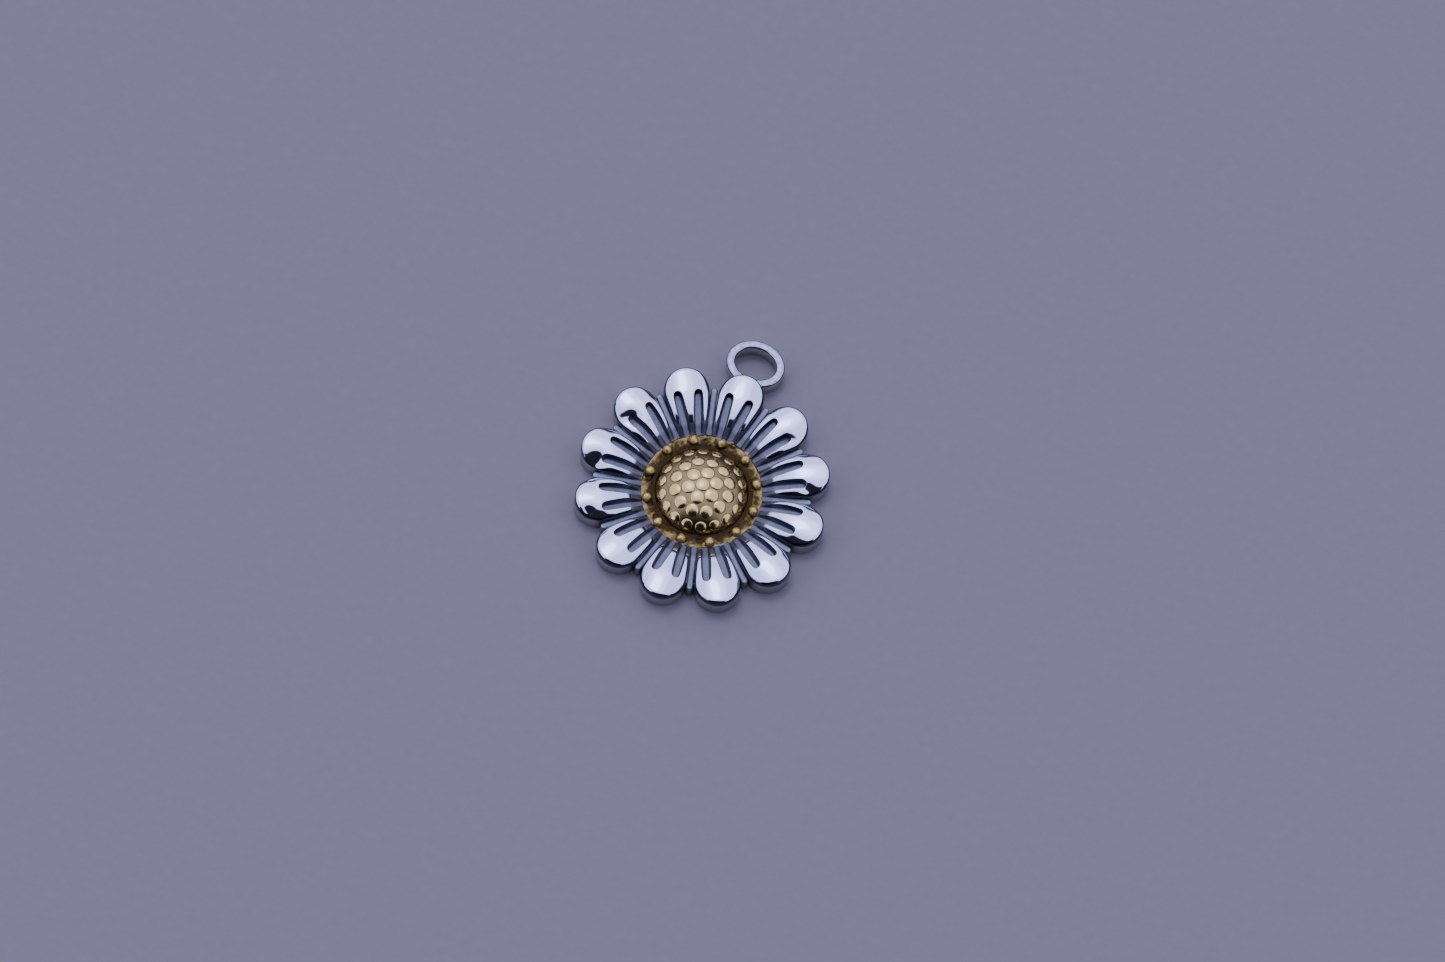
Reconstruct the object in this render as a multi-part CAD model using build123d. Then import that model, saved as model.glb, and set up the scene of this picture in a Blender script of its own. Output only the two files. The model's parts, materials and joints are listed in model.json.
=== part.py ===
"""Flower pendant: a cast metal flower with a hanging ring, and a seed dome seated in its middle.

The origin is on the flower's axis, on its flat back. +Z points out of the flower's face,
and +Y points at the hanging ring. All sizes are in millimetres.
"""

import math
import os

from build123d import *

os.makedirs("parts", exist_ok=True)

# Petals: round outer lobes, on straight sides that point at the flower's axis
petal_count = 12
tip_radius = 7.69
lobe_radius = 1.39
petal_height = 1.60
petal_edge_roll = 0.16

# Two grooves in each petal, open towards the seed dome. Insets here and below are from petal tips
groove_inset = 1.46
groove_angle = 6.1
groove_width = 0.56
groove_root_width = 0.44
groove_end_floor = 1.07

# Web behind the petals, and one bar in each gap between them
web_inset = 1.54
web_height = 0.82
web_root_height = 0.44
bar_inset = 1.14
bar_width = 0.42
bar_end_height = 0.95
bar_root_height = 0.50

# Seat for the seed dome, sunk in the middle of the flower
seat_floor = 0.25
seat_clearance = 0.02

# Seed dome: a collar, a low elliptical dome with rings of seeds, and a bead at each petal's root
collar_radius = 3.62
collar_top = 0.42
dome_half_width = 2.95
dome_rise = 1.70
dome_top = 1.56
seed_radius = 0.41
seed_proud = 0.11
seed_depth = 0.14
root_bead_radius = 0.28
root_bead_inset = 0.30
root_bead_top = 0.85

# Hanging ring: an oval band, in one piece with the top petal. Reach is from its tip to the hole
ring_reach = 0.97
ring_hole_width = 2.56
ring_hole_height = 1.96
ring_band = 0.50
ring_thickness = 1.15
ring_edge_roll = 0.08

# Stations along a petal's crown. Reach is a share of the way from the collar to the tip.
# Height, at the petal's middle, and sag, from there to its sides, are shares of petal_height
crown_stations = [
    {"reach": -0.10, "height": 0.30, "sag": 0.03},
    {"reach": 0.04, "height": 0.38, "sag": 0.05},
    {"reach": 0.15, "height": 0.60, "sag": 0.07},
    {"reach": 0.25, "height": 0.765, "sag": 0.09},
    {"reach": 0.36, "height": 0.865, "sag": 0.11},
    {"reach": 0.53, "height": 0.945, "sag": 0.16},
    {"reach": 0.77, "height": 1.00, "sag": 0.27},
    {"reach": 0.90, "height": 0.985, "sag": 0.27},
    {"reach": 1.03, "height": 0.955, "sag": 0.27},
]
crown_margin = 0.2

# Rings of seeds. Circle is a share of the radius where the dome meets its collar, and size is
# a share of seed_radius
seed_rings = [
    {"circle": 0.000, "seeds": 1, "size": 1.00},
    {"circle": 0.304, "seeds": 6, "size": 1.00},
    {"circle": 0.592, "seeds": 12, "size": 0.95},
    {"circle": 0.872, "seeds": 18, "size": 0.88},
]

# Values that follow from those above
petal_step = 360 / petal_count
lobe_centre = tip_radius - lobe_radius
petal_lean = math.asin(lobe_radius / lobe_centre)
groove_end_centre = tip_radius - groove_inset - groove_width / 2
bar_end = tip_radius - bar_inset
root_overlap = 0.3
dome_base_sine = 1 - (dome_top - collar_top) / dome_rise
dome_base_radius = dome_half_width * math.sqrt(1 - dome_base_sine**2)
ring_centre = tip_radius + ring_reach


def strip(end_centre, end_half_width, root, root_half_width):
    """A flat strip along +Y with a round outer end, and straight sides that touch it."""
    run = end_centre - root
    lean = math.asin(end_half_width / math.hypot(run, root_half_width))
    lean -= math.atan2(root_half_width, run)
    side_x = end_half_width * math.cos(lean)
    side_y = end_centre - end_half_width * math.sin(lean)
    tip = (0, end_centre + end_half_width)
    outline = [
        Line((-root_half_width, root), (-side_x, side_y)),
        ThreePointArc((-side_x, side_y), tip, (side_x, side_y)),
        Line((side_x, side_y), (root_half_width, root)),
        Line((root_half_width, root), (-root_half_width, root)),
    ]
    return make_face(outline)


def post(radius, foot, height):
    """A round post on the flower's axis that stands on the height foot."""
    return Pos(0, 0, foot + height / 2) * Cylinder(radius, height)


def below_slope(outer_radius, outer_height, inner_radius, inner_height, half_width):
    """A block along +Y, from the back up to a top that falls evenly towards the flower's axis."""
    side = [
        (inner_radius, 0),
        (outer_radius, 0),
        (outer_radius, outer_height),
        (inner_radius, inner_height),
    ]
    face = make_face(Plane.YZ * Polyline(*side, close=True))
    return extrude(face, half_width, both=True)


def crown_section(station):
    """One section across a petal: flat below, upright sides, and an arc over the top."""
    reach = collar_radius + station["reach"] * (tip_radius - collar_radius)
    half_width = lobe_radius + crown_margin
    middle = station["height"] * petal_height
    side = middle - station["sag"] * petal_height
    outline = [
        Line((-half_width, 0), (half_width, 0)),
        Line((half_width, 0), (half_width, side)),
        ThreePointArc((half_width, side), (0, middle), (-half_width, side)),
        Line((-half_width, side), (-half_width, 0)),
    ]
    across = Plane(origin=(0, reach, 0), x_dir=(1, 0, 0), z_dir=(0, -1, 0))
    return across * make_face(outline)


def petal_blank():
    """One petal along +Y, with its crown and its rolled edge, before its grooves are cut."""
    crown = loft([crown_section(station) for station in crown_stations])
    root = collar_radius - root_overlap
    outline = strip(lobe_centre, lobe_radius, root, root * math.tan(petal_lean))
    blank = crown & extrude(outline, 2 * petal_height)
    crown_edges = blank.faces().sort_by(Axis.Z)[-1].edges()
    rim = [edge for edge in crown_edges if edge.center().Y > collar_radius]
    return fillet(rim, petal_edge_roll)


def groove_cutter():
    """The space of one groove along +Y, above a floor that falls towards the flower's axis."""
    root = collar_radius - root_overlap
    outline = strip(groove_end_centre, groove_width / 2, root, groove_root_width / 2)
    outer = groove_end_centre + groove_width
    floor = below_slope(outer, groove_end_floor, root, collar_top, groove_width)
    return extrude(outline, 2 * petal_height) - floor


def petal():
    """One petal along +Y, with its two grooves."""
    cutter = groove_cutter()
    both_sides = [Rot(0, 0, side * groove_angle) * cutter for side in (-1, 1)]
    return petal_blank() - both_sides


def bar():
    """The bar between two petals, along +Y, with a round outer end and a sloping top."""
    root = collar_radius - root_overlap
    half_width = bar_width / 2
    outline = strip(bar_end - half_width, half_width, root, half_width)
    slope = below_slope(bar_end, bar_end_height, root, bar_root_height, bar_width)
    return extrude(outline, petal_height) & slope


def hanging_ring():
    """The oval ring that stands on the back's plane beyond the top petal's tip."""
    hole = Ellipse(ring_hole_width / 2, ring_hole_height / 2)
    outside = Ellipse(ring_hole_width / 2 + ring_band, ring_hole_height / 2 + ring_band)
    band = extrude(Pos(0, ring_centre) * (outside - hole), ring_thickness)
    top = band.faces().sort_by(Axis.Z)[-1]
    return fillet(top.edges(), ring_edge_roll)


def petal_rosette():
    """The cast flower: petals, bars, web and hanging ring, with the seat for the seed dome."""
    one_petal = petal()
    one_bar = bar()
    pieces = []
    for index in range(petal_count):
        pieces.append(Rot(0, 0, index * petal_step) * one_petal)
        pieces.append(Rot(0, 0, (index + 0.5) * petal_step) * one_bar)
    pieces.append(hanging_ring())
    rim = tip_radius - web_inset
    web_side = [(0, 0), (rim, 0), (rim, web_height), (collar_radius, web_root_height)]
    web_face = make_face(Plane.XZ * Polyline(*web_side, (0, web_root_height), close=True))
    body = revolve(web_face, Axis.Z) + pieces
    return body - post(collar_radius + seat_clearance, seat_floor, petal_height)


def seed(radius):
    """One seed, a round-topped button whose foot reaches seed_depth into the dome."""
    top_radius = (radius**2 + seed_proud**2) / (2 * seed_proud)
    top = Pos(0, 0, seed_proud - top_radius) * Sphere(top_radius)
    return post(radius, -seed_depth, seed_depth + seed_proud) & top


def on_dome(circle):
    """Height of the dome at a radius, and how far its face leans outwards there, in degrees."""
    share = circle / dome_half_width
    level = math.sqrt(1 - share**2)
    height = dome_top - dome_rise * (1 - level)
    lean = math.degrees(math.atan(dome_rise * share / (dome_half_width * level)))
    return height, lean


def seed_dome():
    """The dome on its collar, with its seeds and root beads, resting just clear of its seat."""
    underside = seat_floor + seat_clearance
    foot = (dome_base_radius, collar_top)
    centre = (0, dome_top - dome_rise)
    start = math.degrees(math.asin(dome_base_sine))
    arc = EllipticalCenterArc(centre, dome_half_width, dome_rise, start, arc_size=90 - start)
    base = Polyline(
        (0, dome_top), (0, underside), (collar_radius, underside), (collar_radius, collar_top), foot
    )
    dome = revolve(Plane.XZ * make_face([arc, base]), Axis.Z)
    pieces = []
    for ring in seed_rings:
        one_seed = seed(ring["size"] * seed_radius)
        circle = ring["circle"] * dome_base_radius
        height, lean = on_dome(circle)
        for index in range(ring["seeds"]):
            turn = Rot(0, 0, index * 360 / ring["seeds"])
            pieces.append(turn * Pos(0, circle, height) * Rot(-lean, 0, 0) * one_seed)
    bead_circle = collar_radius - root_bead_inset
    bead = Pos(0, bead_circle, root_bead_top - root_bead_radius) * Sphere(root_bead_radius)
    bead &= post(collar_radius, underside, petal_height)
    for index in range(petal_count):
        pieces.append(Rot(0, 0, index * petal_step) * bead)
    return dome + pieces


export_step(petal_rosette(), "parts/petal_rosette.step")
export_step(seed_dome(), "parts/seed_dome.step")
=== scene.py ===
"""A flower pendant about 15 mm across, lying on its back: a polished casting with a gold centre."""

import json
import math

import bpy
from mathutils import Matrix, Vector

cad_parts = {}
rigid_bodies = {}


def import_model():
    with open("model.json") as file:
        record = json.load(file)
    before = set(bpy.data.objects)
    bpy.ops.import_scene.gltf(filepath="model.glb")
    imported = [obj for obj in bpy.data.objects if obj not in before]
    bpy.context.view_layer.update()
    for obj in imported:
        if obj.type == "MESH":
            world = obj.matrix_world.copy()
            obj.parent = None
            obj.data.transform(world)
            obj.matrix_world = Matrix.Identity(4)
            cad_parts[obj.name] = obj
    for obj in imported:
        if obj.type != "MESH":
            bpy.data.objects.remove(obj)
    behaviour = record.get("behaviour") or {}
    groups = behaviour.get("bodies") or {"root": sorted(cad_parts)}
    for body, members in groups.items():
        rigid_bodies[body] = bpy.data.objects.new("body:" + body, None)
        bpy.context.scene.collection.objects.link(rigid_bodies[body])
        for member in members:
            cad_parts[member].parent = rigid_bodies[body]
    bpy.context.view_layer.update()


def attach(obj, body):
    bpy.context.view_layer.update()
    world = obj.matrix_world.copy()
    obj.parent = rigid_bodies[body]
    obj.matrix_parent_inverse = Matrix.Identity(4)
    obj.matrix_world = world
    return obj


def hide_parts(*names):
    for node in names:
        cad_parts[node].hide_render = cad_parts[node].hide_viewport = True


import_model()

# Petals. Twelve of them, cast as one with the rest of the flower in stainless steel: a domed round
# lobe on straight sides that point at the flower's axis, with two grooves sunk into its neck.
# Shapes are in millimetres until the finished casting is brought down to metres.
millimetre = 0.001
petal_count = 12
petal_step = math.radians(360 / petal_count)
lobe_radius = 1.39
lobe_middle = 6.30
petal_lean = math.asin(lobe_radius / lobe_middle)
neck_rows = [3.0, 3.6, 4.0, 4.4, 4.85, 5.35, 5.92, 6.20]
lobe_rows = 5
corner_angle = math.radians(45)
groove_end_drop = 0.082
crest = [
    (2.8, 0.32), (3.3, 0.39), (3.64, 0.50), (4.0, 0.82), (4.4, 1.135), (4.85, 1.315), (5.2, 1.42),
    (5.6, 1.50), (6.0, 1.56), (6.3, 1.59), (6.6, 1.60), (7.0, 1.59), (7.3, 1.575), (7.5, 1.56),
    (7.7, 1.54),
]
bow = [(2.8, 0.03), (4.6, 0.04), (5.4, 0.07), (6.0, 0.13), (6.4, 0.18), (7.7, 0.16)]
flank = [(2.8, 0.0), (5.2, 0.01), (6.0, 0.015), (7.7, 0.015)]
groove_floor = [(2.8, 0.28), (3.64, 0.43), (6.3, 1.05)]
groove_inner = [(2.8, 0.09), (4.1, 0.11), (4.7, 0.15), (5.3, 0.245), (6.0, 0.34), (6.4, 0.37)]
groove_outer = [(2.8, 0.42), (4.1, 0.68), (4.7, 0.79), (5.3, 0.87), (6.0, 0.93), (6.4, 0.95)]
edge_roll = 0.16


def along(stations, reach):
    """The value at a reach from the flower's axis, on straight lines between stations."""
    for (inner, low), (outer, high) in zip(stations, stations[1:]):
        if reach <= outer:
            break
    share = (reach - inner) / (outer - inner)
    return low + (high - low) * share


def neck_point(column, row):
    """A point of the petal's outline grid in its neck, where the columns run along the grooves."""
    reach = neck_rows[row]
    side = math.copysign(1, column)
    near, far = along(groove_inner, reach), along(groove_outer, reach)
    middle, half = (near + far) / 2, (far - near) / 2
    across = [0, near, middle, far, reach * math.tan(petal_lean)][abs(column)]
    last = row == len(neck_rows) - 1
    if abs(column) == 4 and reach > lobe_middle - lobe_radius * math.sin(petal_lean):
        across = math.sqrt(lobe_radius**2 - (reach - lobe_middle) ** 2)
    if last and abs(column) in (1, 3):
        across = middle + (abs(column) - 2) * half * math.sin(math.radians(45))
        reach -= groove_end_drop
    return side * across, reach


def lobe_point(column, row):
    """A point of the outline grid in the lobe, whose columns fan out to the round tip."""
    share = (row - len(neck_rows) + 1) / lobe_rows
    start = Vector(neck_point(abs(column), len(neck_rows) - 1)) - Vector((0, lobe_middle))
    rim_angle = math.pi / 2 - abs(column) / 4 * corner_angle
    rim = lobe_radius * Vector((math.cos(rim_angle), math.sin(rim_angle)))
    straight = start.lerp(rim, share)
    start_angle = math.atan2(start.y, start.x)
    angle = start_angle + (rim_angle - start_angle) * share
    length = start.length + (lobe_radius - start.length) * share
    swung = length * Vector((math.cos(angle), math.sin(angle)))
    point = straight.lerp(swung, (column / 4) ** 2)
    return math.copysign(1, column) * point.x, lobe_middle + point.y


def crown(x, y):
    """Height of a petal's top."""
    return along(crest, y) - along(bow, y) * x**2 - along(flank, y) * x**4


def choose(piece, kind, wanted):
    """Selects, in edit mode, only the points, edges or faces of a piece that pass a test."""
    bpy.ops.object.mode_set(mode="EDIT")
    bpy.ops.mesh.select_mode(type=kind)
    bpy.ops.mesh.select_all(action="DESELECT")
    bpy.ops.object.mode_set(mode="OBJECT")
    parts = {"VERT": "vertices", "EDGE": "edges", "FACE": "polygons"}[kind]
    for part in getattr(piece.data, parts):
        part.select = wanted(part)
    bpy.ops.object.mode_set(mode="EDIT")


def finish_with(piece, kind, **settings):
    """Adds a modifier and applies it."""
    bpy.ops.object.select_all(action="DESELECT")
    piece.select_set(True)
    bpy.context.view_layer.objects.active = piece
    modifier = piece.modifiers.new(kind, kind)
    for name, value in settings.items():
        setattr(modifier, name, value)
    bpy.ops.object.modifier_apply(modifier=modifier.name)


def fuse(piece, other, operation="UNION"):
    """Joins another closed shape to a piece, or cuts it away, and drops the other shape."""
    finish_with(piece, "BOOLEAN", operation=operation, object=other, solver="MANIFOLD")
    bpy.data.objects.remove(other)


def drop_specks(piece):
    """Merges doubled points, and drops the specks that the cuts left beside the piece."""
    choose(piece, "VERT", lambda point: True)
    bpy.ops.mesh.remove_doubles(threshold=0.0005)
    bpy.ops.mesh.dissolve_degenerate(threshold=0.0005)
    bpy.ops.object.mode_set(mode="OBJECT")
    top = max(point.co.z for point in piece.data.vertices)
    choose(piece, "VERT", lambda point: point.co.z == top)
    bpy.ops.mesh.select_linked()
    bpy.ops.mesh.select_all(action="INVERT")
    bpy.ops.mesh.delete(type="VERT")
    bpy.ops.object.mode_set(mode="OBJECT")


def join(pieces):
    """Makes one object of several that don't touch."""
    bpy.ops.object.select_all(action="DESELECT")
    for piece in pieces:
        piece.select_set(True)
    bpy.context.view_layer.objects.active = pieces[0]
    bpy.ops.object.join()
    return pieces[0]


def copies_round(piece, count, first=0.0):
    """Copies of a piece with meshes of their own, evenly round the flower's axis."""
    copies = []
    for index in range(count):
        copy = piece.copy()
        copy.data = piece.data.copy()
        copy.data.transform(Matrix.Rotation(first + index * 2 * math.pi / count, 4, "Z"))
        bpy.context.scene.collection.objects.link(copy)
        copies.append(copy)
    return copies


rows = len(neck_rows) - 1 + lobe_rows
bpy.ops.object.select_all(action="DESELECT")
bpy.ops.mesh.primitive_grid_add(x_subdivisions=8, y_subdivisions=rows, size=2)
petal = bpy.context.object
for point in petal.data.vertices:
    column = round(point.co.x * 4)
    row = round((point.co.y + 1) * rows / 2)
    x, y = neck_point(column, row) if row < len(neck_rows) else lobe_point(column, row)
    point.co = (x, y, -0.4)
bpy.ops.object.mode_set(mode="EDIT")
bpy.ops.mesh.select_all(action="SELECT")
bpy.ops.mesh.extrude_region_move(TRANSFORM_OT_translate={"value": (0, 0, 1)})
bpy.ops.object.mode_set(mode="OBJECT")
for point in petal.data.vertices:
    if point.co.z > 0:
        point.co.z = crown(point.co.x, point.co.y)
choose(petal, "FACE", lambda face: face.normal.z < -0.9)
bpy.ops.mesh.region_to_loop()
bpy.ops.mesh.bevel(offset=0.06, segments=1, affect="EDGES")
choose(petal, "FACE", lambda face: face.normal.z > 0.5 and face.center.z > 0.5)
bpy.ops.mesh.region_to_loop()
bpy.ops.mesh.bevel(offset=edge_roll, segments=2, affect="EDGES")


def in_groove(face):
    """Whether a face of the petal's top lies inside one of its two grooves."""
    x, y = abs(face.center.x), face.center.y
    inside = along(groove_inner, y) < x < along(groove_outer, y)
    return face.normal.z > 0.5 and face.center.z > 0.3 and y < 6.15 and inside


choose(petal, "FACE", in_groove)
bpy.ops.mesh.inset(thickness=0.02)
bpy.ops.mesh.inset(thickness=0.05, depth=-0.09)
bpy.ops.object.mode_set(mode="OBJECT")
for point in petal.data.vertices:
    if point.select:
        point.co.z = along(groove_floor, point.co.y) + 0.05
bpy.ops.object.mode_set(mode="EDIT")
bpy.ops.mesh.inset(thickness=0.06, depth=-0.05)
bpy.ops.object.mode_set(mode="OBJECT")
finish_with(petal, "SUBSURF", levels=2, render_levels=2)

# Bars. A narrow cast strip lies in each gap between two petals, lower than they are, with a round
# outer end and a top that slopes down towards the flower's axis.
bar_end = 6.55
bar_root = 3.3
bar_width = 0.42
bar_end_top, bar_root_top = 0.95, 0.50
bpy.ops.object.select_all(action="DESELECT")
bpy.ops.mesh.primitive_cube_add(size=1)
bar = bpy.context.object
for point in bar.data.vertices:
    outer, upper = point.co.y > 0, point.co.z > 0
    point.co.x *= bar_width
    point.co.z = (bar_end_top if outer else bar_root_top) if upper else -0.3
    point.co.y = bar_end if outer else bar_root


def upright_outer(edge):
    """Whether an edge is one of the two upright ones at the bar's outer end."""
    ends = [bar.data.vertices[index].co for index in edge.vertices]
    return all(end.y > bar_end - 0.01 for end in ends) and abs(ends[0].z - ends[1].z) > 0.5


choose(bar, "EDGE", upright_outer)
bpy.ops.mesh.bevel(offset=0.20, segments=5, affect="EDGES")
choose(bar, "FACE", lambda face: face.normal.z > 0.5)
bpy.ops.mesh.region_to_loop()
bpy.ops.mesh.bevel(offset=0.10, segments=3, affect="EDGES")
bpy.ops.object.mode_set(mode="OBJECT")

# Web. A thin disc of the same casting behind the petals, dished towards the middle. It holds the
# petals and the bars, and shows only as the floor of the gaps between them.
web_radius = 6.15
web_slope = (2.45, -0.38)
web_middle = (0, 0, 0.26)
bpy.ops.object.select_all(action="DESELECT")
bpy.ops.mesh.primitive_cylinder_add(vertices=96, radius=web_radius, depth=1.12, location=web_middle)
web = bpy.context.object
bpy.ops.object.transform_apply()
choose(web, "FACE", lambda face: face.normal.z > 0.9)
bpy.ops.mesh.region_to_loop()
bpy.ops.mesh.bevel(offset=0.06, segments=2, affect="EDGES")
choose(web, "FACE", lambda face: face.normal.z > 0.999)
bpy.ops.mesh.inset(thickness=web_slope[0], depth=web_slope[1])
bpy.ops.object.mode_set(mode="OBJECT")

# Hanging ring. An oval band beyond the tip of one petal, cast in one with it, for a jump ring or
# a cord. Its face is flat, with rounded edges.
ring_middle = 8.66
ring_half = (1.777, 1.477)
ring_band = 0.50
bpy.ops.object.select_all(action="DESELECT")
bpy.ops.mesh.primitive_cylinder_add(vertices=80, radius=1, depth=1.55, location=(0, 0, 0.375))
ring = bpy.context.object
bpy.ops.object.transform_apply()
bpy.ops.object.mode_set(mode="EDIT")
bpy.ops.mesh.select_all(action="SELECT")
bpy.ops.transform.resize(value=(*ring_half, 1), center_override=(0, 0, 0))
bpy.ops.transform.translate(value=(0, ring_middle, 0))
choose(ring, "FACE", lambda face: abs(face.normal.z) > 0.9)
bpy.ops.mesh.inset(thickness=ring_band)
bpy.ops.mesh.bridge_edge_loops()
bpy.ops.object.mode_set(mode="OBJECT")
choose(ring, "FACE", lambda face: face.normal.z > 0.9)
bpy.ops.mesh.region_to_loop()
bpy.ops.mesh.bevel(offset=0.12, segments=4, affect="EDGES")
bpy.ops.object.mode_set(mode="OBJECT")

# Casting. The petals, bars, web and ring are one piece of metal: their shapes are fused, the seat
# for the gold centre is sunk in the middle, and the back is cut flat.
seat_radius = 3.64
seat_floor = 0.25
petals = copies_round(petal, petal_count)


def dent(number, across, out, depth, size):
    """Presses a soft hollow into one petal, given across its middle line and out along it."""
    turn = Matrix.Rotation(number * petal_step, 4, "Z")
    place = turn @ Vector((across, out, 0))
    for point in petals[number].data.vertices:
        if point.co.z > 0.5:
            distance = math.hypot(point.co.x - place.x, point.co.y - place.y)
            point.co.z -= depth * math.exp(-(distance / size) ** 2 / 2)


# The casting isn't quite even: five lobes are hollowed a little where the wax was pressed
dent(3, -1.0, 6.38, 0.20, 0.42)
dent(2, -0.70, 5.90, 0.22, 0.36)
dent(10, 1.0, 6.1, 0.10, 0.24)
dent(4, -0.92, 7.02, 0.14, 0.29)
dent(11, 0.78, 5.9, 0.13, 0.30)
bars = copies_round(bar, petal_count, petal_step / 2)
bpy.data.objects.remove(petal)
bpy.data.objects.remove(bar)
casting = join(petals + bars)
fuse(casting, web)
fuse(casting, ring)
bpy.ops.object.select_all(action="DESELECT")
seat_middle = (0, 0, seat_floor + 1.5)
bpy.ops.mesh.primitive_cylinder_add(vertices=180, radius=seat_radius, depth=3, location=seat_middle)
fuse(casting, bpy.context.object, "DIFFERENCE")
bpy.ops.mesh.primitive_cube_add(size=30, location=(0, 0, 15))
fuse(casting, bpy.context.object, "INTERSECT")
drop_specks(casting)
casting.name = "flower_casting"
casting.data.transform(Matrix.Scale(millimetre, 4))
bpy.ops.object.shade_smooth_by_angle(angle=math.radians(35))


def linear(code):
    """An sRGB hex colour as the linear colour that shaders use."""
    parts = [int(code[i:i + 2], 16) / 255 for i in (1, 3, 5)]
    return [c / 12.92 if c <= 0.04045 else ((c + 0.055) / 1.055) ** 2.4 for c in parts] + [1.0]


def add(tree, kind, inputs=(), **settings):
    """Adds a node. An input is a value, or a node and the name of its output to link."""
    node = tree.nodes.new("ShaderNode" + kind)
    for name, value in settings.items():
        setattr(node, name, value)
    for name, value in dict(inputs).items():
        if isinstance(value, tuple) and isinstance(value[0], bpy.types.Node):
            tree.links.new(value[0].outputs[value[1]], node.inputs[name])
        else:
            node.inputs[name].default_value = value
    return node


# Polished stainless steel. Tumbled and buffed after casting, so what a buff reaches is a mirror,
# and the grooves, the gaps between petals and the back keep the dull skin of the casting.
steel = bpy.data.materials.new("polished_cast_steel")
steel.use_nodes = True
tree = steel.node_tree
tree.nodes.clear()
place = add(tree, "TexCoord")
parts = add(tree, "SeparateXYZ", {"Vector": (place, "Object")})
flat = add(tree, "CombineXYZ", {"X": (parts, "X"), "Y": (parts, "Y")})
reach = add(tree, "VectorMath", {0: (flat, "Vector")}, operation="LENGTH")
# A flat buff reaches only the highest half millimetre of the flower. The lobes' outer walls and
# the hanging ring are bright from tumbling but not buffed.
grain = add(tree, "TexNoise", {
    "Vector": (place, "Object"), "Scale": 1 / 0.00022, "Detail": 4.0, "Roughness": 0.6,
})
patches = add(tree, "TexNoise", {"Vector": (place, "Object"), "Scale": 1 / 0.0012, "Detail": 2.0})
wander = add(tree, "MapRange", {"Value": (patches, "Fac"), "To Min": -0.00006, "To Max": 0.00006})
level = add(tree, "Math", {0: (parts, "Z"), 1: (wander, "Result")}, operation="ADD")
buffed_from = add(tree, "MapRange", {
    "Value": (reach, "Value"), "From Min": 0.0052, "From Max": 0.0062, "To Min": 0.00097,
    "To Max": 0.00102,
})
over = add(tree, "Math", {0: (level, "Value"), 1: (buffed_from, "Result")}, operation="SUBTRACT")
polish = add(tree, "MapRange", {
    "Value": (over, "Value"), "From Min": 0.0, "From Max": 0.00008,
}, interpolation_type="SMOOTHSTEP")
tumbled = add(tree, "MapRange", {
    "Value": (reach, "Value"), "From Min": 0.0063, "From Max": 0.0069,
}, interpolation_type="SMOOTHSTEP")
skin = add(tree, "Mix", {
    0: (grain, "Fac"), 6: linear("#6E727E"), 7: linear("#8E93A2"),
}, data_type="RGBA")
outside = add(tree, "Mix", {
    0: (tumbled, "Result"), 6: (skin, 2), 7: linear("#C6C8C0"),
}, data_type="RGBA")
# Painted shade: the rolled edge round each polished face, where it turns away from the top, is
# painted darker than the face
shape = add(tree, "NewGeometry")
facing = add(tree, "SeparateXYZ", {"Vector": (shape, "Normal")})
rolled_edge_shade = add(tree, "MapRange", {
    "Value": (facing, "Z"), "From Min": 0.86, "From Max": 0.70,
}, interpolation_type="SMOOTHSTEP")
buffed_with_edge_shade = add(tree, "Mix", {
    0: (rolled_edge_shade, "Result"), 6: linear("#DEE2FF"), 7: linear("#4A4862"),
}, data_type="RGBA")
clean = add(tree, "Mix", {0: (polish, "Result"), 6: (outside, 2), 7: (buffed_with_edge_shade, 2)}, data_type="RGBA")
# Painted shade: the petals' roots, low against the gold centre where no buff reaches, are painted
# darker
root_shade = add(tree, "MapRange", {
    "Value": (reach, "Value"), "From Min": 0.0045, "From Max": 0.0041, "To Max": 0.60,
}, interpolation_type="SMOOTHSTEP")
root_shaded = add(tree, "Mix", {
    0: (root_shade, "Result"), 6: (clean, 2), 7: linear("#45414A"),
}, data_type="RGBA")
# Plating strayed in specks onto the roots round the gold centre
specks = add(tree, "TexNoise", {"Vector": (place, "Object"), "Scale": 1 / 0.0007, "Detail": 4.0})
strayed = add(tree, "MapRange", {
    "Value": (reach, "Value"), "From Min": 0.0042, "From Max": 0.0036, "To Min": -0.3,
    "To Max": 0.10,
})
speck = add(tree, "Math", {0: (specks, "Fac"), 1: (strayed, "Result")}, operation="ADD")
gilt = add(tree, "MapRange", {
    "Value": (speck, "Value"), "From Min": 0.62, "From Max": 0.68,
}, interpolation_type="SMOOTHSTEP")
gilded = add(tree, "Mix", {
    0: (gilt, "Result"), 6: (root_shaded, 2), 7: linear("#B09A66"),
}, data_type="RGBA")
# The hanging ring's face is satin, with fine marks
ring_face = add(tree, "MapRange", {"Value": (facing, "Z"), "From Min": 0.80, "From Max": 0.95})
out_there = add(tree, "MapRange", {
    "Value": (reach, "Value"), "From Min": 0.0068, "From Max": 0.0069,
})
low = add(tree, "MapRange", {"Value": (parts, "Z"), "From Min": 0.00119, "From Max": 0.00117})
ring_there = add(tree, "Math", {
    0: (ring_face, "Result"), 1: (out_there, "Result"),
}, operation="MULTIPLY")
on_ring = add(tree, "Math", {0: (ring_there, "Value"), 1: (low, "Result")}, operation="MULTIPLY")
marks = add(tree, "MapRange", {"Value": (grain, "Fac"), "From Min": 0.35, "From Max": 0.65})
satin = add(tree, "Mix", {
    0: (marks, "Result"), 6: linear("#868AA6"), 7: linear("#B0B4D2"),
}, data_type="RGBA")
colour = add(tree, "Mix", {0: (on_ring, "Value"), 6: (gilded, 2), 7: (satin, 2)}, data_type="RGBA")
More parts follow.
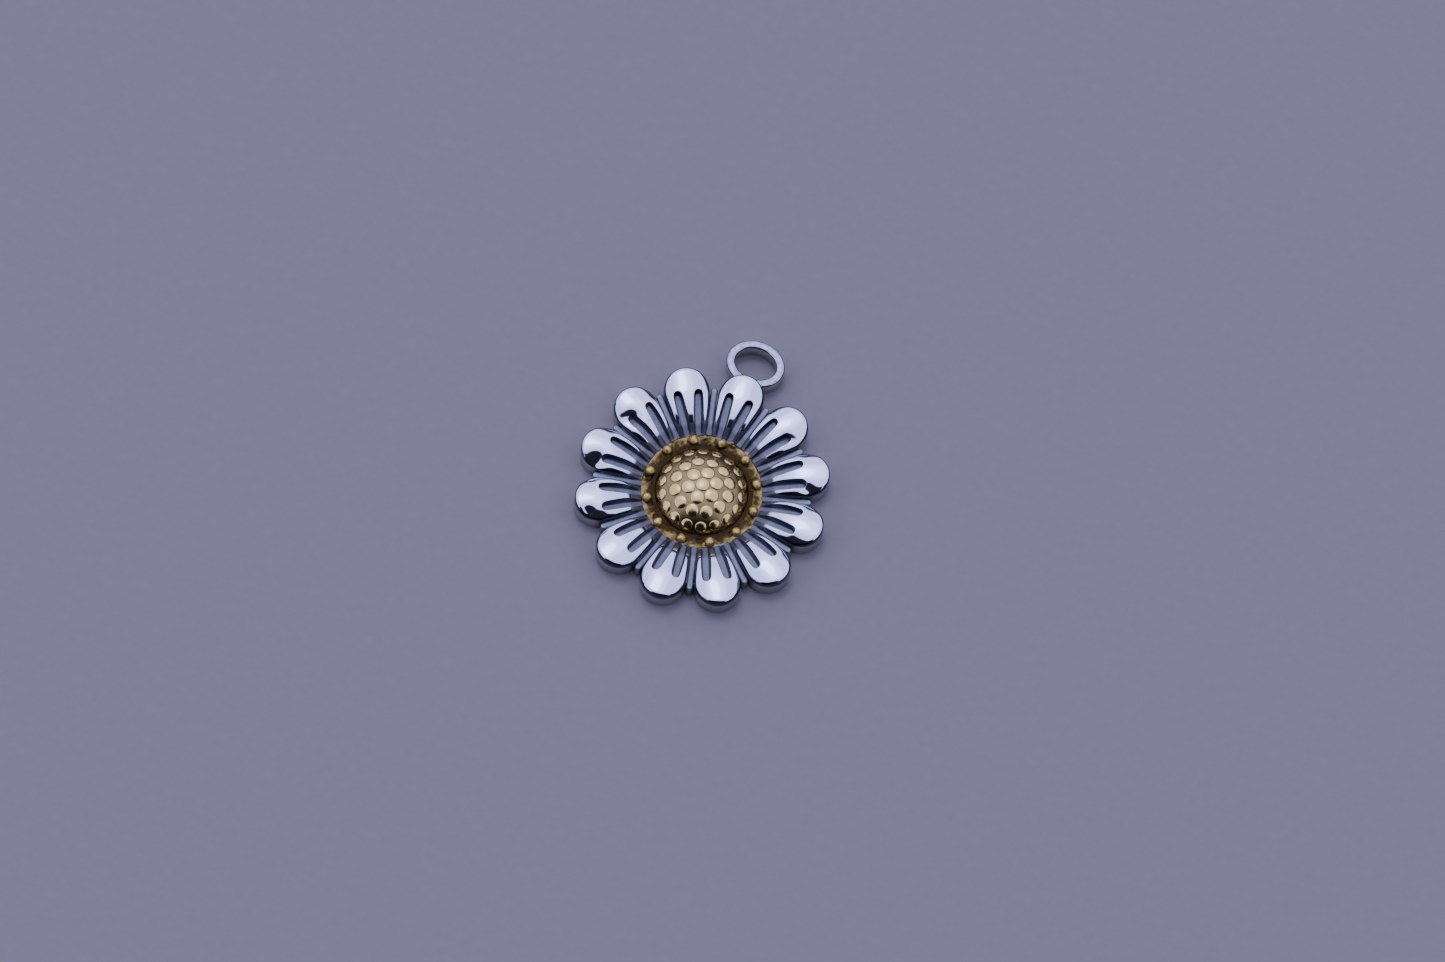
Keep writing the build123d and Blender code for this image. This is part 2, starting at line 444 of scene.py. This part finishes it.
outside_rough = add(tree, "MapRange", {
    "Value": (tumbled, "Result"), "To Min": 0.50, "To Max": 0.16,
})
metal_rough = add(tree, "Mix", {0: (polish, "Result"), 2: (outside_rough, "Result"), 3: 0.055})
rough = add(tree, "Mix", {0: (on_ring, "Value"), 2: (metal_rough, 0), 3: 0.32})
depth = add(tree, "MapRange", {"Value": (polish, "Result"), "To Min": 0.6, "To Max": 0.0})
bump = add(tree, "Bump", {
    "Height": (grain, "Fac"), "Strength": (depth, "Result"), "Distance": 0.00003,
})
shader = add(tree, "BsdfPrincipled", {
    "Base Color": (colour, 2), "Metallic": 1.0, "Roughness": (rough, 0),
    "Normal": (bump, "Normal"),
})
add(tree, "OutputMaterial", {"Surface": (shader, "BSDF")})
casting.data.materials.clear()
casting.data.materials.append(steel)
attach(casting, "root")
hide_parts("petal_rosette")

# Gold centre. A low dome on a flat collar, with round seeds in rings over it and a bead at the
# root of each petal. It stands in the casting's seat with a hair of room round it.
dome_half = (2.95, 1.70)
dome_middle = -0.14
collar_radius = 3.635
collar_bottom = 0.27
collar_depth = 0.17
gutter = [(0.06, 0.02), (0.08, -0.01)] + 3 * [(0.08, -0.02)] + 5 * [(0.08, 0)]
bpy.ops.object.select_all(action="DESELECT")
collar_middle = (0, 0, collar_bottom + collar_depth / 2)
bpy.ops.mesh.primitive_cylinder_add(
    vertices=160, radius=collar_radius, depth=collar_depth, location=collar_middle
)
centre = bpy.context.object
bpy.ops.object.transform_apply()
choose(centre, "FACE", lambda face: face.normal.z > 0.9)
for thickness, depth in gutter:
    bpy.ops.mesh.inset(thickness=thickness, depth=depth)
choose(centre, "FACE", lambda face: face.normal.z > 0.5 and len(face.vertices) == 4)
bpy.ops.mesh.subdivide(number_cuts=1)
bpy.ops.object.mode_set(mode="OBJECT")

# The sand-rough skin of the gutter, as the wax was never smoothed there
rough_cast = bpy.data.textures.new("rough_cast", "CLOUDS")
rough_cast.noise_scale = 0.16
rough_cast.noise_depth = 2


def roughen(piece, strength, wanted, direction="Z"):
    """Pushes the points that pass a test up and down, or in and out, by a cloudy pattern."""
    group = piece.vertex_groups.new(name="rough")
    group.add([point.index for point in piece.data.vertices if wanted(point.co)], 1, "REPLACE")
    finish_with(
        piece, "DISPLACE", texture=rough_cast, texture_coords="GLOBAL", direction=direction,
        strength=strength, mid_level=0.5, vertex_group="rough"
    )
    piece.vertex_groups.clear()


collar_rim = collar_radius - 0.03
roughen(centre, 0.10, lambda co: co.z > 0.36 and 2.5 < math.hypot(co.x, co.y) < collar_rim)
rough_cast.noise_scale = 0.42
roughen(centre, 0.20, lambda co: co.z > 0.36 and 3.05 < math.hypot(co.x, co.y) < collar_rim)

bpy.ops.object.select_all(action="DESELECT")
bpy.ops.mesh.primitive_uv_sphere_add(segments=96, ring_count=64, radius=1)
dome = bpy.context.object
bpy.ops.object.mode_set(mode="EDIT")
bpy.ops.mesh.select_all(action="SELECT")
dome_size = (dome_half[0], dome_half[0], dome_half[1])
bpy.ops.transform.resize(value=dome_size, center_override=(0, 0, 0))
bpy.ops.transform.translate(value=(0, 0, dome_middle))
bpy.ops.mesh.bisect(plane_co=(0, 0, 0.3), plane_no=(0, 0, 1), clear_inner=True, use_fill=True)
bpy.ops.object.mode_set(mode="OBJECT")
fuse(centre, dome)

seed_radius = 0.43
bpy.ops.object.select_all(action="DESELECT")
bpy.ops.mesh.primitive_cylinder_add(
    vertices=24, radius=seed_radius, depth=0.24, location=(0, 0, -0.07)
)
seed = bpy.context.object
bpy.ops.object.transform_apply()
choose(seed, "FACE", lambda face: face.normal.z > 0.9)
bpy.ops.mesh.region_to_loop()
bpy.ops.mesh.bevel(offset=0.055, segments=2, affect="EDGES")
choose(seed, "FACE", lambda face: face.normal.z > 0.999)
bpy.ops.mesh.inset(thickness=0.11, depth=0.034)
bpy.ops.mesh.inset(thickness=0.13, depth=0.020)
choose(seed, "FACE", lambda face: face.normal.z < -0.9)
bpy.ops.mesh.region_to_loop()
bpy.ops.mesh.bevel(offset=0.03, segments=1, affect="EDGES")
bpy.ops.object.mode_set(mode="OBJECT")
finish_with(seed, "SUBSURF", levels=1, render_levels=1)
seed_rings = [(0.0, 1, 1.0), (0.855, 6, 1.0), (1.665, 12, 0.94), (2.455, 18, 0.86)]
seeds = []
for circle, count, scale in seed_rings:
    share = circle / dome_half[0]
    level = math.sqrt(1 - share**2)
    height = dome_middle + dome_half[1] * level
    lean = math.atan2(dome_half[1] * share, dome_half[0] * level)
    one = seed.copy()
    one.data = seed.data.copy()
    set_in = Matrix.Translation((0, circle, height)) @ Matrix.Rotation(-lean, 4, "X")
    one.data.transform(set_in @ Matrix.Diagonal((scale, scale, 1, 1)))
    seeds += copies_round(one, count)
    bpy.data.objects.remove(one)
bpy.data.objects.remove(seed)
for one in seeds:
    fuse(centre, one)

# A low, lumpy bead of the same metal ends each petal's middle ridge
bead_radius = 0.29
bead_middle = (0, 3.32, 0.55)
bpy.ops.object.select_all(action="DESELECT")
bpy.ops.mesh.primitive_uv_sphere_add(
    segments=28, ring_count=18, radius=bead_radius, location=bead_middle
)
bead = bpy.context.object
bpy.ops.object.transform_apply()
beads = copies_round(bead, petal_count)
bpy.data.objects.remove(bead)
beads = join(beads)
rough_cast.noise_scale = 0.24
roughen(beads, 0.11, lambda co: co.z > 0.46, "NORMAL")
fuse(centre, beads)
drop_specks(centre)
centre.name = "seed_centre"
centre.data.transform(Matrix.Scale(millimetre, 4))
bpy.ops.object.shade_smooth_by_angle(angle=math.radians(40))

# Gold plate. Pale gold over the steel, bright on the seeds, where wear keeps it clean, and dull and
# dark between them and in the gutter, with painted shade round each seed's foot and in the bottom
# of the gutter. It thins out to bare steel at the gutter's edge.
gold = bpy.data.materials.new("gold_plate")
gold.use_nodes = True
tree = gold.node_tree
tree.nodes.clear()
place = add(tree, "TexCoord")
parts = add(tree, "SeparateXYZ", {"Vector": (place, "Object")})
flat = add(tree, "CombineXYZ", {"X": (parts, "X"), "Y": (parts, "Y")})
reach = add(tree, "VectorMath", {0: (flat, "Vector")}, operation="LENGTH")
middle = add(tree, "VectorMath", {
    0: (place, "Object"), 1: (0, 0, dome_middle * millimetre),
}, operation="SUBTRACT")
half = [size * millimetre for size in dome_size]
squeezed = add(tree, "VectorMath", {0: (middle, "Vector"), 1: half}, operation="DIVIDE")
shell = add(tree, "VectorMath", {0: (squeezed, "Vector")}, operation="LENGTH")
proud = add(tree, "MapRange", {
    "Value": (shell, "Value"), "From Min": 1.012, "From Max": 1.020,
}, interpolation_type="SMOOTHSTEP")
in_gutter = add(tree, "MapRange", {
    "Value": (reach, "Value"), "From Min": 0.00273, "From Max": 0.00279,
}, interpolation_type="SMOOTHSTEP")
grain = add(tree, "TexNoise", {
    "Vector": (place, "Object"), "Scale": 1 / 0.00016, "Detail": 4.0, "Roughness": 0.6,
})
patches = add(tree, "TexNoise", {"Vector": (place, "Object"), "Scale": 1 / 0.0005, "Detail": 3.0})
clean = add(tree, "Mix", {
    0: (patches, "Fac"), 6: linear("#D0B46E"), 7: linear("#E2CA90"),
}, data_type="RGBA")
dull = add(tree, "Mix", {
    0: (grain, "Fac"), 6: linear("#6E6044"), 7: linear("#A8966A"),
}, data_type="RGBA")
# Painted shade lines the foot of each seed, in the crease against the dome
seed_foot_shade = add(tree, "MapRange", {
    "Value": (shell, "Value"), "From Min": 1.0005, "From Max": 1.004,
}, interpolation_type="SMOOTHSTEP")
seed_foot_shaded = add(tree, "Mix", {
    0: (seed_foot_shade, "Result"), 6: (dull, 2), 7: linear("#1E180E"),
}, data_type="RGBA")
dome_colour = add(tree, "Mix", {
    0: (proud, "Result"), 6: (seed_foot_shaded, 2), 7: (clean, 2),
}, data_type="RGBA")
# Wear keeps the tops of the gutter's lumps clean, and the hollows between them stay dark
uneven = add(tree, "MapRange", {"Value": (grain, "Fac"), "To Min": -0.00004, "To Max": 0.00004})
lump = add(tree, "Math", {0: (parts, "Z"), 1: (uneven, "Result")}, operation="ADD")
mottle = add(tree, "MapRange", {
    "Value": (lump, "Value"), "From Min": 0.00038, "From Max": 0.00048,
}, interpolation_type="SMOOTHSTEP")
lumpy_gold = add(tree, "Mix", {
    0: (mottle, "Result"), 6: linear("#463A22"), 7: linear("#A08A56"),
}, data_type="RGBA")
# Painted shade lies in the bottom of the gutter, against the dome's foot
gutter_shade = add(tree, "MapRange", {
    "Value": (reach, "Value"), "From Min": 0.00296, "From Max": 0.00330, "To Min": 0.75,
    "To Max": 0.0,
}, interpolation_type="SMOOTHSTEP")
gutter_shaded_gold = add(tree, "Mix", {
    0: (gutter_shade, "Result"), 6: (lumpy_gold, 2), 7: linear("#2C2214"),
}, data_type="RGBA")
# The beads stand up to wear, so their tops are bright
bead_top = add(tree, "MapRange", {
    "Value": (parts, "Z"), "From Min": 0.00050, "From Max": 0.00066, "To Max": 0.85,
}, interpolation_type="SMOOTHSTEP")
gutter_gold = add(tree, "Mix", {
    0: (bead_top, "Result"), 6: (gutter_shaded_gold, 2), 7: linear("#DCC07A"),
}, data_type="RGBA")
# At the gutter's edge the plate is worn through in places
worn_line = add(tree, "MapRange", {
    "Value": (patches, "Fac"), "From Min": 0.35, "From Max": 0.65, "To Min": 0.00346,
    "To Max": 0.00384,
})
past = add(tree, "Math", {0: (reach, "Value"), 1: (worn_line, "Result")}, operation="SUBTRACT")
worn_off = add(tree, "MapRange", {
    "Value": (past, "Value"), "From Min": -0.00004, "From Max": 0.00006,
}, interpolation_type="SMOOTHSTEP")
down_low = add(tree, "MapRange", {"Value": (parts, "Z"), "From Min": 0.00054, "From Max": 0.00050})
bare = add(tree, "Math", {0: (worn_off, "Result"), 1: (down_low, "Result")}, operation="MULTIPLY")
gutter_colour = add(tree, "Mix", {
    0: (bare, "Value"), 6: (gutter_gold, 2), 7: linear("#84868C"),
}, data_type="RGBA")
colour = add(tree, "Mix", {
    0: (in_gutter, "Result"), 6: (dome_colour, 2), 7: (gutter_colour, 2),
}, data_type="RGBA")
# The seeds are the smoothest, and the dome is smoother at its foot than on top
gap_rough = add(tree, "MapRange", {
    "Value": (parts, "Z"), "From Min": 0.0009, "From Max": 0.0013, "To Min": 0.22, "To Max": 0.36,
})
dome_rough = add(tree, "Mix", {0: (proud, "Result"), 2: (gap_rough, "Result"), 3: 0.16})
rough = add(tree, "Mix", {0: (in_gutter, "Result"), 2: (dome_rough, 0), 3: 0.45})
depth = add(tree, "Mix", {0: (in_gutter, "Result"), 2: 0.18, 3: 0.6})
bump = add(tree, "Bump", {"Height": (grain, "Fac"), "Strength": (depth, 0), "Distance": 0.00004})
shader = add(tree, "BsdfPrincipled", {
    "Base Color": (colour, 2), "Metallic": 1.0, "Roughness": (rough, 0),
    "Normal": (bump, "Normal"),
})
add(tree, "OutputMaterial", {"Surface": (shader, "BSDF")})
centre.data.materials.clear()
centre.data.materials.append(gold)
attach(centre, "root")
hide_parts("seed_dome")

# Floor. A plain, pale, matt sheet of paper, large enough to fill the picture. The pendant lies on
# its back on it.
bpy.ops.mesh.primitive_plane_add(size=4, location=(0, 0, 0))
floor = bpy.context.object
floor.name = "floor"
matt = bpy.data.materials.new("matt_paper")
matt.use_nodes = True
tree = matt.node_tree
tree.nodes.clear()
place = add(tree, "TexCoord")
fibres = add(tree, "TexNoise", {"Vector": (place, "Object"), "Scale": 1 / 0.0006, "Detail": 5.0})
colour = add(tree, "Mix", {
    0: (fibres, "Fac"), 6: linear("#726E7A"), 7: linear("#7C7884"),
}, data_type="RGBA")
shader = add(tree, "BsdfPrincipled", {"Base Color": (colour, 2), "Roughness": 0.9})
add(tree, "OutputMaterial", {"Surface": (shader, "BSDF")})
floor.data.materials.append(matt)

# Camera. It looks down on the flower from its near side, 67 degrees above the floor, turned a
# little about its own axis. The aim is given in pixels of the picture from the flower's middle.
azimuth, elevation, roll = math.radians(13.9), math.radians(67.1), math.radians(8.4)
camera_distance = 1.4
view_width = 0.0859
picture_width = 1445
aim_right, aim_up = 20.1, 5.1
away = Vector((-math.sin(azimuth), math.cos(azimuth), 0))
back = Vector((0, 0, math.sin(elevation))) - away * math.cos(elevation)
level_right = Vector((math.cos(azimuth), math.sin(azimuth), 0))
level_up = back.cross(level_right)
right = level_right * math.cos(roll) + level_up * math.sin(roll)
up = level_up * math.cos(roll) - level_right * math.sin(roll)
pixel = view_width / picture_width
aim = Vector((0, 0, 1.30 * millimetre)) + right * aim_right * pixel + up * aim_up * pixel
lens = bpy.data.cameras.new("camera")
lens.sensor_width = 36
lens.lens = 36 * camera_distance / view_width
lens.clip_start = 0.01
lens.clip_end = 20
camera = bpy.data.objects.new("camera", lens)
turned = Matrix((right, up, back)).transposed().to_4x4()
camera.matrix_world = Matrix.Translation(aim + back * camera_distance) @ turned
bpy.context.scene.collection.objects.link(camera)
bpy.context.scene.camera = camera

# Studio light. A pale dome overhead that darkens towards the horizon and behind the camera, a
# round lamp above the far side, and a small warm lamp low on the near left.
lamp_distance = 1.6


def lamp(name, toward, distance, size, power, code):
    """A round lamp that hangs in a direction from the flower and shines at it."""
    light = bpy.data.lights.new(name, "AREA")
    light.shape = "DISK"
    light.size = size
    light.energy = power
    light.color = linear(code)[:3]
    holder = bpy.data.objects.new(name, light)
    direction = toward.normalized()
    holder.location = direction * distance
    holder.rotation_euler = direction.to_track_quat("Z", "Y").to_euler()
    bpy.context.scene.collection.objects.link(holder)
    return holder


key_way = away * 0.334 - level_right * 0.139 + Vector((0, 0, 0.93))
key_lamp = lamp("key_lamp", key_way, lamp_distance, 0.5, 5, "#FFFFFF")
key_lamp.visible_glossy = False
warm_way = -away * 0.6 - level_right * 0.7 + Vector((0, 0, 0.35))
lamp("warm_lamp", warm_way, lamp_distance, 0.06, 0.3, "#FFC890")

world = bpy.data.worlds.new("studio")
bpy.context.scene.world = world
world.use_nodes = True
tree = world.node_tree
tree.nodes.clear()
place = add(tree, "TexCoord")
# The sky fades out near the horizon, a little higher on the right
tilted_up = Vector((0, 0, 1)) - 0.10 * level_right
sideways = add(tree, "VectorMath", {0: (place, "Generated"), 1: tilted_up}, operation="DOT_PRODUCT")
rise = add(tree, "MapRange", {
    "Value": (sideways, "Value"), "From Min": 0.24, "From Max": 0.40, "To Min": 0.03,
    "To Max": 1.0,
}, interpolation_type="SMOOTHSTEP")
# A dark round screen stands behind the camera
screen_edge, screen_rim = math.cos(math.radians(40)), math.cos(math.radians(34))
shade_way = -away * 0.80 + Vector((0, 0, 0.60))
near = add(tree, "VectorMath", {0: (place, "Generated"), 1: shade_way}, operation="DOT_PRODUCT")
screen = add(tree, "MapRange", {
    "Value": (near, "Value"), "From Min": screen_edge, "From Max": screen_rim, "To Min": 1.0,
    "To Max": 0.015,
}, interpolation_type="SMOOTHSTEP")
# A soft pool of light with a bright middle hangs round the key lamp
pool_edge, bulb_edge = math.cos(math.radians(28)), math.cos(math.radians(13))
soft = add(tree, "VectorMath", {
    0: (place, "Generated"), 1: key_way.normalized(),
}, operation="DOT_PRODUCT")
pool = add(tree, "MapRange", {
    "Value": (soft, "Value"), "From Min": pool_edge, "From Max": 1.0, "To Min": 1.9,
    "To Max": 3.0,
}, interpolation_type="SMOOTHSTEP")
bulb = add(tree, "MapRange", {
    "Value": (soft, "Value"), "From Min": bulb_edge, "From Max": 1.0, "To Max": 2.2,
}, interpolation_type="SMOOTHERSTEP")
lit = add(tree, "Math", {0: (pool, "Result"), 1: (bulb, "Result")}, operation="ADD")
veil = add(tree, "Math", {0: (rise, "Result"), 1: (screen, "Result")}, operation="MULTIPLY")
glow = add(tree, "Math", {0: (veil, "Value"), 1: (lit, "Value")}, operation="MULTIPLY")
shader = add(tree, "Background", {"Color": linear("#CED0F4"), "Strength": (glow, "Value")})
add(tree, "OutputWorld", {"Surface": (shader, "Background")})
